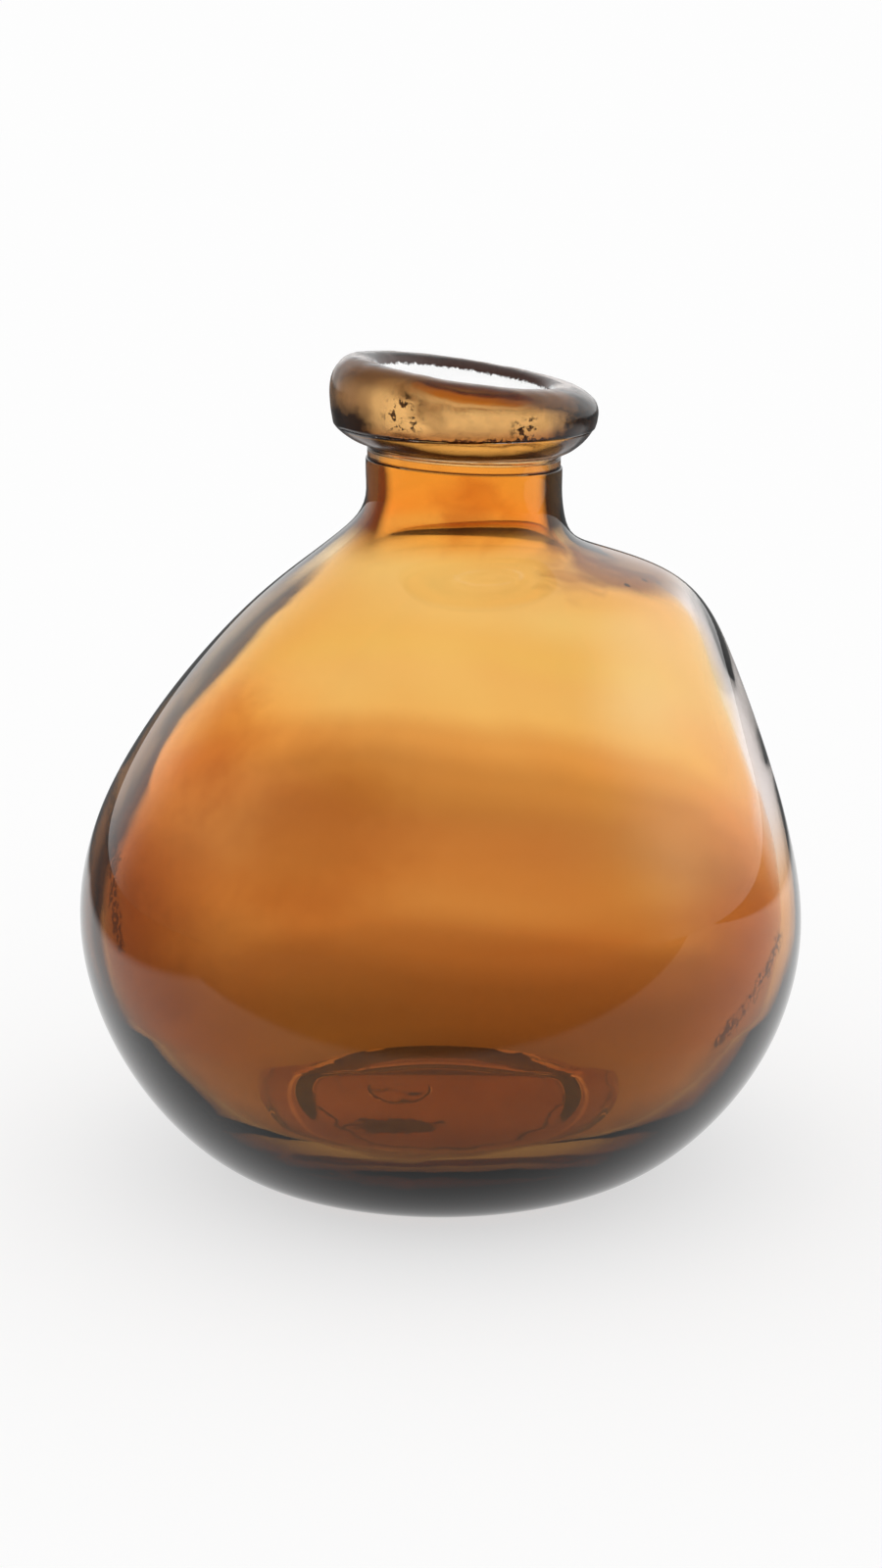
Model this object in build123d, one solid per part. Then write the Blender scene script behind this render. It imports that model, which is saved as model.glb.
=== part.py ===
from build123d import *
import math
import os

# Sizes are in millimetres. The vase stands on z = 0 with +Z up.

# Belly and shoulder. Each row is a height, then how far the glass reaches there
# to the left (-X), to the right (+X), to the front (-Y) and to the back (+Y).
SECTIONS = [
    (6.0, 61.9, 61.9, 61.9, 61.9),
    (16.0, 74.4, 74.9, 74.2, 74.2),
    (36.0, 88.5, 89.4, 86.8, 86.8),
    (66.0, 97.0, 97.0, 94.5, 94.5),
    (96.0, 92.3, 92.6, 90.5, 90.0),
    (120.0, 78.9, 84.8, 79.0, 80.0),
    (140.0, 63.4, 77.1, 67.0, 69.5),
    (153.0, 51.0, 70.4, 57.0, 60.5),
    (161.0, 41.8, 61.5, 48.0, 51.0),
    (167.0, 34.2, 46.0, 37.5, 39.5),
    (172.0, 28.0, 35.2, 30.2, 31.0),
    (178.0, 21.9, 32.4, 26.6, 26.8),
]
WALL = 6.0  # glass thickness of the belly and shoulder
LOBE_DEPTH = 1.5  # swell of the three soft lobes round the shoulder
LOBE_END = 6.0  # the lobes die out this far below the top section
POINTS_PER_SECTION = 16

# Base, from the resting ring outwards to the heel line and inwards to the middle.
BEARING_RADIUS = 47.0  # outside of the flat ring that rests on the table
BEARING_WIDTH = 6.0
RECESS_DEPTH = 6.0  # height of the push-up under the middle
HEEL_REACH = 6.0  # from the resting ring out to the heel line
HEEL_RISE = 2.3  # from the table up to the heel line
MOAT_HEIGHT = 9.4  # lowest part of the floor inside, a moat round the raised middle
MOAT_REACH = 8.5  # from the heel line in to the moat
MOAT_BANK = 1.6  # rise from the moat out to the heel line
FLOOR_REACH = 8.0  # from the moat in to the rim of the raised floor
FLOOR_RISE = 3.6  # from the moat up to that rim
FLOOR_CROWN = 0.7  # further rise to the middle
PONTIL_RADIUS = 9.0  # button of glass left under the base
PONTIL_EDGE = 0.8
PONTIL_DEPTH = 1.3
PONTIL_SHIFT = 12.0  # the button sits this far to the left of the middle

# Neck and lip, all round one upright axis beside the belly's own.
NECK_OFFSET = 6.0  # how far the neck stands to the right of the belly
BORE_RADIUS = 22.4
NECK_WALL = 3.3
NECK_FILLET = 6.0  # from the top section up to the straight neck
NECK_LENGTH = 7.8  # straight length of the neck, on its axis
NECK_TILT = 3.0  # degrees, higher on the left
BORE_LEAD = 3.0  # the bore becomes straight this far below the neck
BAND_HEIGHT = 3.6
BAND_STEP = 0.4  # the band is this much slimmer than the neck
FLANGE_HEIGHT = 5.6
FLANGE_ROUNDNESS = 0.5  # from 0, a straight cone, to 1, a quarter round
FLANGE_LEDGE = 0.8  # ledge of the flange beyond the band
FLANGE_REACH = 8.0  # how far the flange grows beyond the neck
SEAM_TILT = 1.0  # degrees, higher on the left
RING_OVERHANG = 1.2  # the ring stands this far beyond the flange
RING_HEIGHT = 14.4  # height of the ring on the axis
RING_TILT = 8.5  # degrees, higher on the left
RING_ROUNDING = 6.4  # roundness of the ring's outer top edge
MOUTH_ROUNDING = 4.2  # roundness of the ring's inner top edge

# Sizes that follow from those above.
WIDEST_HEIGHT = max(SECTIONS, key=lambda row: row[1] + row[2])[0]
SHOULDER_TOP = SECTIONS[-1][0]
RECESS_RADIUS = BEARING_RADIUS - BEARING_WIDTH
RECESS_BALL = (RECESS_RADIUS**2 + RECESS_DEPTH**2) / (2 * RECESS_DEPTH)
HEEL_RADIUS = BEARING_RADIUS + HEEL_REACH
HEEL_INSIDE = MOAT_HEIGHT + MOAT_BANK
MOAT_RADIUS = HEEL_RADIUS - MOAT_REACH
NECK_RADIUS = BORE_RADIUS + NECK_WALL
NECK_FOOT = SHOULDER_TOP + NECK_FILLET
NECK_TOP = NECK_FOOT + NECK_LENGTH
BORE_FOOT = NECK_FOOT - BORE_LEAD
BAND_RADIUS = NECK_RADIUS - BAND_STEP
BAND_TOP = NECK_TOP + BAND_HEIGHT
FLANGE_RADIUS = NECK_RADIUS + FLANGE_REACH
SEAM_HEIGHT = BAND_TOP + FLANGE_HEIGHT
RING_RADIUS = FLANGE_RADIUS + RING_OVERHANG
RING_TOP = SEAM_HEIGHT + RING_HEIGHT


def lobe_at(height):
    share = (height - WIDEST_HEIGHT) / (SHOULDER_TOP - LOBE_END - WIDEST_HEIGHT)
    share = min(max(share, 0.0), 1.0)
    return LOBE_DEPTH * math.sin(math.pi * share) ** 2


def section_wire(height, left, right, front, back, lobe):
    """One closed, level outline of the belly."""
    points = []
    for index in range(POINTS_PER_SECTION):
        turn = 2 * math.pi * index / POINTS_PER_SECTION
        half_x = (left + right) / 2 + lobe * math.sin(3 * turn)
        half_y = (front + back) / 2 + lobe * math.sin(3 * turn)
        x = (right - left) / 2 + half_x * math.cos(turn)
        y = (back - front) / 2 + half_y * math.sin(turn)
        points.append((x, y, height))
    return Wire([Edge.make_spline(points, periodic=True)])


def round_section(height, radius, offset):
    """A round outline with the same seam and points as the belly's own."""
    return section_wire(height, radius - offset, radius + offset, radius, radius, 0.0)


def tilted_plane(height, tilt):
    """A plane across the neck's axis, higher on the left by a tilt in degrees."""
    lean = math.radians(tilt)
    return Plane(
        origin=(NECK_OFFSET, 0, height),
        x_dir=(math.cos(lean), 0, -math.sin(lean)),
        z_dir=(math.sin(lean), 0, math.cos(lean)),
    )


def tilted_ring(radius, height, tilt):
    return Wire.make_circle(radius, tilted_plane(height, tilt))


def bore(foot):
    """The straight hole down the neck, from above the lip to a height."""
    head = RING_TOP + RING_RADIUS
    return Pos(NECK_OFFSET, 0, (foot + head) / 2) * Cylinder(BORE_RADIUS, head - foot)


def recess_height(radius):
    """Height of the push-up's ball-shaped surface at a radius."""
    return RECESS_DEPTH - RECESS_BALL + math.sqrt(RECESS_BALL**2 - radius**2)


def recess_arc(radius):
    """The push-up's curve from the axis out to a radius."""
    start = (0, 0, recess_height(0))
    middle = (radius / 2, 0, recess_height(radius / 2))
    end = (radius, 0, recess_height(radius))
    return ThreePointArc(start, middle, end)


def make_body_shell():
    outer = [round_section(0, BEARING_RADIUS, 0)]
    outer.append(round_section(HEEL_RISE, HEEL_RADIUS, 0))
    inner = [round_section(MOAT_HEIGHT, MOAT_RADIUS, 0)]
    inner.append(round_section(HEEL_INSIDE, HEEL_RADIUS, 0))
    for height, left, right, front, back in SECTIONS:
        lobe = lobe_at(height)
        outer.append(section_wire(height, left, right, front, back, lobe))
        slope = (height - WIDEST_HEIGHT) / (WIDEST_HEIGHT - HEEL_INSIDE)
        depth = height - WALL * min(max(slope, -1.0), 1.0)
        if HEEL_INSIDE + WALL < depth < BORE_FOOT - 3 * WALL:
            reaches = [reach - WALL for reach in (left, right, front, back)]
            inner.append(section_wire(depth, *reaches, lobe))
    for share in (0.0, 0.25, 0.5, 0.75, 1.0):
        height = NECK_FOOT + share * (SEAM_HEIGHT - NECK_FOOT)
        outer.append(round_section(height, NECK_RADIUS, NECK_OFFSET))
    inner.append(round_section(BORE_FOOT - WALL, BORE_RADIUS + WALL / 3, NECK_OFFSET))
    inner.append(round_section(BORE_FOOT + WALL, BORE_RADIUS - WALL / 3, NECK_OFFSET))
    shell = Solid.make_loft(outer) - Solid.make_loft(inner)
    shell = shell - Cylinder(HEEL_RADIUS, 4 * HEEL_INSIDE)
    shell = shell - bore(BORE_FOOT - 2 * WALL)
    return split(shell, tilted_plane(NECK_TOP, NECK_TILT), Keep.BOTTOM)


def make_base_pad():
    rest = (BEARING_RADIUS, 0, 0)
    heel_foot = (HEEL_RADIUS, 0, HEEL_RISE)
    heel_head = (HEEL_RADIUS, 0, HEEL_INSIDE)
    moat = (MOAT_RADIUS, 0, MOAT_HEIGHT)
    rim = (MOAT_RADIUS - FLOOR_REACH, 0, MOAT_HEIGHT + FLOOR_RISE)
    crown = (0, 0, rim[2] + FLOOR_CROWN)
    outline = [
        recess_arc(RECESS_RADIUS),
        Line((RECESS_RADIUS, 0, 0), rest),
        Spline(rest, heel_foot, tangents=((1, 0, 0), (1, 0, 0.5))),
        Line(heel_foot, heel_head),
        Spline(heel_head, moat, tangents=((-1, 0, -0.4), (-1, 0, 0))),
        Spline(moat, rim, tangents=((-1, 0, 0), (-1, 0, 0.04))),
        Spline(rim, crown, tangents=((-1, 0, 0.04), (-1, 0, 0))),
        Line(crown, (0, 0, recess_height(0))),
    ]
    return revolve(make_face(outline), Axis.Z)


def make_pontil_button():
    edge_head = (PONTIL_RADIUS, 0, recess_height(PONTIL_RADIUS))
    edge_foot = (PONTIL_RADIUS - PONTIL_EDGE, 0, edge_head[2] - PONTIL_EDGE)
    middle = (0, 0, recess_height(0) - PONTIL_DEPTH)
    outline = [
        recess_arc(PONTIL_RADIUS),
        Line(edge_head, edge_foot),
        Line(edge_foot, middle),
        Line(middle, (0, 0, recess_height(0))),
    ]
    button = revolve(make_face(outline), Axis.Z)
    ball_middle = Axis((0, 0, RECESS_DEPTH - RECESS_BALL), (0, 1, 0))
    swing = math.degrees(math.asin(PONTIL_SHIFT / RECESS_BALL))
    return button.rotate(ball_middle, -swing)


def make_neck_band():
    foot = tilted_ring(BAND_RADIUS, NECK_TOP, NECK_TILT)
    head = tilted_ring(BAND_RADIUS, BAND_TOP, NECK_TILT)
    return Solid.make_loft([foot, head], ruled=True) - bore(NECK_FOOT)


def make_lip_flange():
    foot_radius = BAND_RADIUS + FLANGE_LEDGE
    rings = []
    for share in (0.0, 0.33, 0.67, 1.0):
        turn = math.pi / 2 * share
        reach = share + FLANGE_ROUNDNESS * (math.sin(turn) - share)
        rise = share + FLANGE_ROUNDNESS * (1 - math.cos(turn) - share)
        radius = foot_radius + (FLANGE_RADIUS - foot_radius) * reach
        tilt = NECK_TILT + (SEAM_TILT - NECK_TILT) * rise
        rings.append(tilted_ring(radius, BAND_TOP + FLANGE_HEIGHT * rise, tilt))
    return Solid.make_loft(rings) - bore(NECK_FOOT)


def make_lip_ring():
    straight = RING_HEIGHT - RING_ROUNDING
    steps = [(0.0, RING_RADIUS), (straight / 2, RING_RADIUS), (straight, RING_RADIUS)]
    for degrees in (30, 60, 85):
        turn = math.radians(degrees)
        radius = RING_RADIUS - RING_ROUNDING * (1 - math.cos(turn))
        steps.append((straight + RING_ROUNDING * math.sin(turn), radius))
    rings = []
    for rise, radius in steps:
        tilt = SEAM_TILT + (RING_TILT - SEAM_TILT) * rise / RING_HEIGHT
        rings.append(tilted_ring(radius, SEAM_HEIGHT + rise, tilt))
    crest = SEAM_HEIGHT + steps[-1][0]
    mouth = []
    for widen, sink in ((1.0, 0.0), (0.55, 0.18), (0.2, 0.55), (-0.15, 1.2)):
        radius = BORE_RADIUS + MOUTH_ROUNDING * widen
        mouth.append(tilted_ring(radius, crest - MOUTH_ROUNDING * sink, RING_TILT))
    return Solid.make_loft(rings) - Solid.make_loft(mouth) - bore(NECK_FOOT)


os.makedirs("parts", exist_ok=True)
export_step(make_body_shell(), "parts/body_shell.step")
export_step(make_base_pad(), "parts/base_pad.step")
export_step(make_pontil_button(), "parts/pontil_button.step")
export_step(make_neck_band(), "parts/neck_band.step")
export_step(make_lip_flange(), "parts/lip_flange.step")
export_step(make_lip_ring(), "parts/lip_ring.step")
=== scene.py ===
# %% [markdown]
# # An amber blown-glass vase
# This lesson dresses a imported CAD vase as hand-blown amber glass. The CAD solids give the sizes and the
# joins. Here each of them is remade as a finer, less perfect mesh, because glass shows every ripple of
# both its faces, and then it gets a glass finish, a white table to stand on and soft light.

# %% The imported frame
import math
import bmesh
import bpy
import numpy as np
from mathutils import Matrix, Vector, noise


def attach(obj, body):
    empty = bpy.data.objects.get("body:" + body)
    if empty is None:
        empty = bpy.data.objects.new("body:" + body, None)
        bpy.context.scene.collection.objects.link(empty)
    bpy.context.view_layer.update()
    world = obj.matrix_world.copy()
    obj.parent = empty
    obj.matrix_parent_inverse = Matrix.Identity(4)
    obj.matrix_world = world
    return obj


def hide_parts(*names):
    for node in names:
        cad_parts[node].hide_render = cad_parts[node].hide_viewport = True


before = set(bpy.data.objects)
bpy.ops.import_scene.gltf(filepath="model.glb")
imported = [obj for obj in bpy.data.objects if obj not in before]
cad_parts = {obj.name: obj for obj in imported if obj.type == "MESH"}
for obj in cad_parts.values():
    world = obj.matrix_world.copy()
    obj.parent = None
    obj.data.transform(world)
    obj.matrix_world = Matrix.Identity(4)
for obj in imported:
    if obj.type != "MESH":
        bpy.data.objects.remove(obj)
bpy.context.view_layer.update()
print("CAD nodes:", sorted(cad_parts))

# %% [markdown]
# ## The camera
# The picture is tall, so the camera's 36 mm sensor runs along its height. A longer lens from a little
# above the table gives the view down into the mouth and on to the floor of the vase at the same time.

# %% Camera
MM = 0.001
IMAGE_HEIGHT = 1600
FOCAL_PIXELS = 3061
SENSOR_MM = 36
CAMERA_PLACE = Vector((0, -780, 303)) * MM
CAMERA_AIM = Vector((0, 0, 104.8)) * MM

scene = bpy.context.scene
camera = bpy.data.objects.new("camera", bpy.data.cameras.new("camera"))
scene.collection.objects.link(camera)
camera.data.sensor_width = SENSOR_MM
camera.data.lens = FOCAL_PIXELS * SENSOR_MM / IMAGE_HEIGHT
camera.location = CAMERA_PLACE
camera.rotation_euler = (CAMERA_AIM - CAMERA_PLACE).to_track_quat("-Z", "Y").to_euler()
scene.camera = camera
print("camera lens", round(camera.data.lens, 1), "mm")

# %% [markdown]
# ## Building materials from nodes
# Glass finishes share a few effects, so those become node groups. Small helpers keep the node code
# short: one adds a node and fills its inputs, one starts a group, and others do sums.


# %% Node helpers
def add_node(tree, kind, inputs=None, **settings):
    """Add a shader node. Inputs are numbers, colours or other nodes' output sockets."""
    made = tree.nodes.new("ShaderNode" + kind)
    for name, value in settings.items():
        setattr(made, name, value)
    for name, value in (inputs or {}).items():
        if isinstance(value, bpy.types.NodeSocket):
            tree.links.new(value, made.inputs[name])
        else:
            made.inputs[name].default_value = value
    return made


def start_group(name, numbers, output):
    """A node group with number inputs and one number output. Returns the tree and its two ends."""
    tree = bpy.data.node_groups.new(name, "ShaderNodeTree")
    kind = "NodeSocketFloat"
    for label, value in numbers.items():
        socket = tree.interface.new_socket(label, in_out="INPUT", socket_type=kind)
        socket.default_value = value
    tree.interface.new_socket(output, in_out="OUTPUT", socket_type=kind)
    return tree, tree.nodes.new("NodeGroupInput"), tree.nodes.new("NodeGroupOutput")


def vector_math(tree, operation, a, b=(0, 0, 0), output="Vector"):
    """Join two vectors by an operation, or measure one."""
    return add_node(tree, "VectorMath", {0: a, 1: b}, operation=operation).outputs[output]


def place_in_mm(tree, shift=(0, 0, 0)):
    """Object coordinates in millimetres."""
    place = add_node(tree, "TexCoord").outputs["Object"]
    scaled = add_node(tree, "VectorMath", {0: place, "Scale": 1 / MM}, operation="SCALE")
    return vector_math(tree, "ADD", scaled.outputs[0], shift)


def combine(tree, a, b, operation="ADD"):
    """Add two numbers, or join them by another operation."""
    return add_node(tree, "Math", {0: a, 1: b}, operation=operation).outputs[0]


def remap(tree, value, low, high, to_low=0.0, to_high=1.0):
    """Ease a number from one range into another."""
    inputs = {"Value": value, "From Min": low, "From Max": high, "To Min": to_low, "To Max": to_high}
    return add_node(tree, "MapRange", inputs, interpolation_type="SMOOTHSTEP").outputs["Result"]


# %% [markdown]
# ## Masks
# A mask is a number from 0 to 1 that says where an effect sits. Most masks here come from a distance in
# millimetres, to a point or to a line on the vase, because the marks in blown glass have their places.
# The last helper tells rays that a surface mirrors from rays that pass through glass.


# %% Masks by distance
def distance_from(tree, place, centre, stretch=(1, 1, 1)):
    """Distance in mm of a place from a centre, with each axis stretched."""
    apart = vector_math(tree, "SUBTRACT", place, centre)
    apart = vector_math(tree, "MULTIPLY", apart, stretch)
    return vector_math(tree, "LENGTH", apart, output="Value")


def distance_to_line(tree, place, start, end):
    """Distance in mm of a place from a straight line between two points."""
    along = Vector(end) - Vector(start)
    apart = vector_math(tree, "SUBTRACT", place, start)
    share = vector_math(tree, "DOT_PRODUCT", apart, along / along.length_squared, "Value")
    held = add_node(tree, "Clamp", {"Value": share}).outputs[0]
    foot = add_node(tree, "VectorMath", {0: along, "Scale": held}, operation="SCALE").outputs[0]
    return vector_math(tree, "LENGTH", vector_math(tree, "SUBTRACT", apart, foot), output="Value")


# %% Joining masks
def product(tree, *masks):
    """Multiply masks. A mask is an output, a number, or (output, from, to) to ease from 0 to 1."""
    eased = [remap(tree, *mask) if isinstance(mask, tuple) else mask for mask in masks]
    joined = eased[0]
    for mask in eased[1:]:
        joined = combine(tree, joined, mask, "MULTIPLY")
    return joined


def one_minus(tree, mask):
    """The places that a mask leaves out."""
    return combine(tree, 1.0, mask, "SUBTRACT")


def centred(tree, mask):
    """A mask moved down to run from -0.5 to 0.5, to push an edge to and fro."""
    return combine(tree, mask, 0.5, "SUBTRACT")


def mirrored_rays(tree):
    """1 for rays that a surface mirrors, 0 for those that the eye sees directly or through glass."""
    rays = add_node(tree, "LightPath").outputs
    return product(tree, rays["Is Glossy Ray"], one_minus(tree, rays["Is Transmission Ray"]))


# %% [markdown]
# ## Clouds, seeds and grain
# Blown glass is uneven. Its wall is thicker here and thinner there, which shows as soft clouds of
# deeper colour. Tiny gas bubbles and specks, which glass makers call seeds, are caught in it. Where the
# lip was pressed with tools the skin is grainy. Each effect is a group, so every finish can use it.


# %% Clouds
def make_clouds():
    tree, start, end = start_group("glass_clouds", {"Size mm": 40.0}, "Cloud")
    scale = combine(tree, 1.0, start.outputs["Size mm"], "DIVIDE")
    inputs = {"Vector": place_in_mm(tree), "Scale": scale, "Detail": 2.0}
    wave = add_node(tree, "TexNoise", {**inputs, "Roughness": 0.45, "Distortion": 0.6})
    tree.links.new(remap(tree, wave.outputs["Fac"], 0.3, 0.7), end.inputs["Cloud"])
    return tree


# %% Seeds
def make_seeds():
    numbers = {"Spacing mm": 9.0, "Radius mm": 0.3, "Share": 0.5}
    tree, start, end = start_group("glass_seeds", numbers, "Seed")
    spacing = start.outputs["Spacing mm"]
    scale = combine(tree, 1.0, spacing, "DIVIDE")
    cells = add_node(tree, "TexVoronoi", {"Vector": place_in_mm(tree), "Scale": scale})
    reach = product(tree, cells.outputs["Distance"], spacing)
    chance = add_node(tree, "SeparateColor", {0: cells.outputs["Color"]}).outputs[0]
    size = product(tree, start.outputs["Radius mm"], product(tree, chance, 1.5))
    inside = combine(tree, reach, size, "LESS_THAN")
    picked = combine(tree, chance, start.outputs["Share"], "LESS_THAN")
    tree.links.new(product(tree, inside, picked), end.inputs["Seed"])
    return tree


# %% Grain
def make_grain():
    tree, start, end = start_group("tool_grain", {"Size mm": 1.0}, "Grain")
    scale = combine(tree, 1.0, start.outputs["Size mm"], "DIVIDE")
    inputs = {"Vector": place_in_mm(tree), "Scale": scale, "Detail": 5.0, "Roughness": 0.65}
    wave = add_node(tree, "TexNoise", inputs)
    tree.links.new(wave.outputs["Fac"], end.inputs["Grain"])
    return tree


clouds, seeds, grain = make_clouds(), make_seeds(), make_grain()
print("groups:", clouds.name, seeds.name, grain.name)

# %% [markdown]
# ## The amber finish
# The colour sits in the glass: pale gold at the shoulder, brown towards the heavy base. The darkening
# towards the base is partly thicker glass and partly painted shade of the shadowed table seen through the
# vase, and the lighter band high on the belly is partly a painted reflection of the light above. A
# Principled shader with full transmission tints light by its base colour each time it goes through a
# wall, so the base colour here is a ramp over the height, broken by clouds.

# %% Glass helpers
CLEAR = (1.0, 1.0, 1.0)
HALF_SHINE = (0.5, 0.5, 0.5)  # a full tent of light mirrors too brightly, so its reflection is halved


def use_group(tree, group, output, **numbers):
    """Place a shared group in a material. Returns its output."""
    made = add_node(tree, "Group", node_tree=group)
    for label, value in numbers.items():
        made.inputs[label.replace("_", " ")].default_value = value
    return made.outputs[output]


def cloudy(tree, size):
    """A mask of soft clouds of a size in mm."""
    return use_group(tree, clouds, "Cloud", Size_mm=size)


def grainy(tree, size):
    """A finer noise of a size in mm, around 0.5."""
    return use_group(tree, grain, "Grain", Size_mm=size)


def blend(tree, mask, first, second):
    """Go from one colour to another as a mask goes from 0 to 1."""
    colours = {6: first, 7: second}
    for slot, colour in colours.items():
        if isinstance(colour, tuple):
            colours[slot] = (*colour, 1.0)
    return add_node(tree, "Mix", {0: mask, **colours}, data_type="RGBA").outputs[2]


def shade_by(tree, colour, mask, low):
    """Multiply a colour by a tint that comes in as a mask goes from 0 to 1."""
    inputs = {0: 1.0, 6: colour, 7: blend(tree, mask, CLEAR, low)}
    return add_node(tree, "Mix", inputs, data_type="RGBA", blend_type="MULTIPLY").outputs[2]


def shade_all(tree, colour, shades, measures):
    """Shade a colour by a list of tints, each with its masks: a measure, or (measure, from, to)."""
    for tint, *masks in shades:
        found = [measures[m] if isinstance(m, str) else (measures[m[0]], *m[1:]) for m in masks]
        colour = shade_by(tree, colour, product(tree, *found), tint)
    return colour


def start_glass(name):
    """A material of clear glass, waiting for its colour."""
    material = bpy.data.materials.new(name)
    material.use_nodes = True
    shader = material.node_tree.nodes["Principled BSDF"]
    shader.inputs["Specular Tint"].default_value = (*HALF_SHINE, 1.0)
    for label, value in {"Transmission Weight": 1.0, "IOR": 1.5, "Roughness": 0.0}.items():
        shader.inputs[label].default_value = value
    print("glass finish:", name)
    return material, material.node_tree, shader


# %% Colour by height
def height_ramp(tree, level, stops, wobble):
    """A colour by level in mm, with the level bent by clouds of a given depth in mm."""
    bend = centred(tree, cloudy(tree, 90.0))
    level = combine(tree, level, product(tree, bend, wobble))
    top = max(stops)
    ramp = add_node(tree, "ValToRGB", {0: combine(tree, level, top, "DIVIDE")})
    ramp.color_ramp.interpolation = "EASE"
    marks = ramp.color_ramp.elements
    while len(marks) < len(stops):
        marks.new(0.5)
    for mark, mm in zip(marks, sorted(stops)):
        mark.position = mm / top
        mark.color = (*stops[mm], 1.0)
    return ramp.outputs[0]


# darker low down partly as painted shade of the shadowed table, lighter near 144 mm partly as a painted
# reflection
AMBER_AND_SHADE_BY_HEIGHT = {  # mm above the table: share of red, green and blue that one wall lets through
    8: (0.38, 0.20, 0.04),
    20: (0.40, 0.21, 0.045),
    36: (0.49, 0.265, 0.085),
    45: (0.65, 0.38, 0.14),
    54: (0.63, 0.345, 0.12),
    68: (0.57, 0.305, 0.12),
    80: (0.67, 0.36, 0.14),
    92: (0.86, 0.48, 0.19),
    104: (1.0, 0.66, 0.30),
    114: (1.0, 0.67, 0.31),
    126: (1.0, 0.73, 0.31),
    144: (1.0, 0.86, 0.48),
    168: (1.0, 0.76, 0.41),
    178: (1.0, 0.54, 0.14),
    192: (0.94, 0.56, 0.16),
}
print("colours over the height:", len(AMBER_AND_SHADE_BY_HEIGHT))

# %% [markdown]
# ## Clouds and marks in the wall
# Some clouds and seeds have places of their own, and so do the painted shade streaks near the edges
# and the painted shade along the fold of the shoulder. Each is a distance from a point or a line,
# pushed to and fro by a finer noise, because a mark in hot glass is drawn out and has no clean edge.

# %% Places of the marks
BAND_TILT, BAND_LEAN = 0.08, -0.04  # the light bands fall to the right and rise to the front
BLOTCHES = {  # centre and radius in mm of deeper clouds: their tint
    (-30, -74, 112, 34): (0.82, 0.71, 0.60),
    (-88, -45, 68, 60): (0.56, 0.44, 0.34),
    (-60, -44, 128, 24): (0.80, 0.66, 0.50),
    (78, -54, 86, 32): (0.84, 0.74, 0.62),
    (8, -27, 182, 13): (0.78, 0.60, 0.50),
    (33, -29, 166, 11): (0.60, 0.48, 0.46),
    (62, -62, 100, 40): (1.0, 1.12, 1.12),
}
# painted shade along the crease where the flat top of the right shoulder meets the belly
FOLD_SHADE_LINE = ((30.0, -16.0, 171.5), (61.0, -10.7, 161.0), 5.0)  # start, end and width on the shoulder
BLACK_SEEDS = {  # centre: radius, in mm
    (47.6, -24.5, 163.5): 1.1,
    (52.6, -16.5, 163.3): 1.1,
    (56.4, -13.8, 162.2): 1.1,
    (-2.3, -72.1, 13.8): 0.7,
}
# painted shade: dark streaks where the rippled wall bends light near its edges, broken up like fine cracks
SHADE_STREAKS = [  # start, end and width in mm of streaks of fine dark cracks
    ((-86.4, -8.2, 106.8), (-84.2, -37.7, 93.4), 4.2),
    ((-84.2, -37.7, 93.4), (-81.8, -50.4, 76.4), 3.4),
    ((87.1, -41.1, 73.7), (70.4, -63.0, 54.5), 3.2),
]
print("marks in the wall:", len(BLOTCHES) + len(BLACK_SEEDS) + len(SHADE_STREAKS))


# %% Colour in the wall
def colour_in_the_wall(tree, place, z):
    """Bands by height, clouds, blotches, painted shade along a fold of the shoulder, and fine seeds."""
    leaning = vector_math(tree, "DOT_PRODUCT", place, (BAND_TILT, BAND_LEAN, 0), "Value")
    level = combine(tree, z, product(tree, leaning, (z, 50, 95)))
    colour = height_ramp(tree, level, AMBER_AND_SHADE_BY_HEIGHT, 5.0)
    colour = shade_by(tree, colour, cloudy(tree, 75.0), (0.96, 0.89, 0.83))
    waves = centred(tree, cloudy(tree, 9.0))
    for (*centre, radius), tint in BLOTCHES.items():
        apart = combine(tree, distance_from(tree, place, centre), product(tree, waves, 6.0))
        colour = shade_by(tree, colour, remap(tree, apart, radius, radius * 0.2), tint)
    # painted shade along the fold of the shoulder
    start, end, width = FOLD_SHADE_LINE
    apart = combine(tree, distance_to_line(tree, place, start, end), product(tree, waves, 7.0))
    colour = shade_by(tree, colour, remap(tree, apart, width, -1.0), (0.38, 0.29, 0.28))
    specks = use_group(tree, seeds, "Seed", Spacing_mm=7.0, Radius_mm=0.22, Share=0.5)
    return shade_by(tree, colour, specks, (0.2, 0.2, 0.2))


# %% Marks on the wall
def seeds_and_shade_streaks(tree, place):
    """A mask of the black seeds and of painted shade streaks, ragged like fine cracks, near the edges."""
    ragged = product(tree, centred(tree, grainy(tree, 3.0)), 8.0)
    broken = remap(tree, grainy(tree, 1.4), 0.42, 0.50)
    mask = 0.0
    for centre, radius in BLACK_SEEDS.items():
        apart = distance_from(tree, place, centre, (1, 1, 0.2))
        mask = combine(tree, mask, remap(tree, apart, radius, radius * 0.6), "MAXIMUM")
    for start, end, width in SHADE_STREAKS:
        apart = combine(tree, distance_to_line(tree, place, start, end), ragged)
        shade_streak = product(tree, (apart, width, width * 0.4), broken, 0.85)
        mask = combine(tree, mask, shade_streak, "MAXIMUM")
    return mask


# %% [markdown]
# ## The edges of the body
# At its edges the wall is seen at a flat angle, so light crosses more glass there and the amber goes
# deep. The dark rim and its line on the left, the dark crest of the right shoulder, the dark sides of the
# neck, the grey edge above the foot and the black foot are painted shade: the dark room and the shadowed
# table that those edges mirror and bend in. A Layer Weight node tells how flat the angle is. It counts
# where the eye meets the outer skin: the mesh marks that skin, and Backfacing tells whether a ray is on
# its way in or out.

# %% Measures of the wall
NECK_OFFSET = 6.0
FOOT_START, FOOT_FACING, FOOT_SLOPE = 24.0, 0.5, 0.0064  # mm, flat angle of the black there, and per mm


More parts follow.
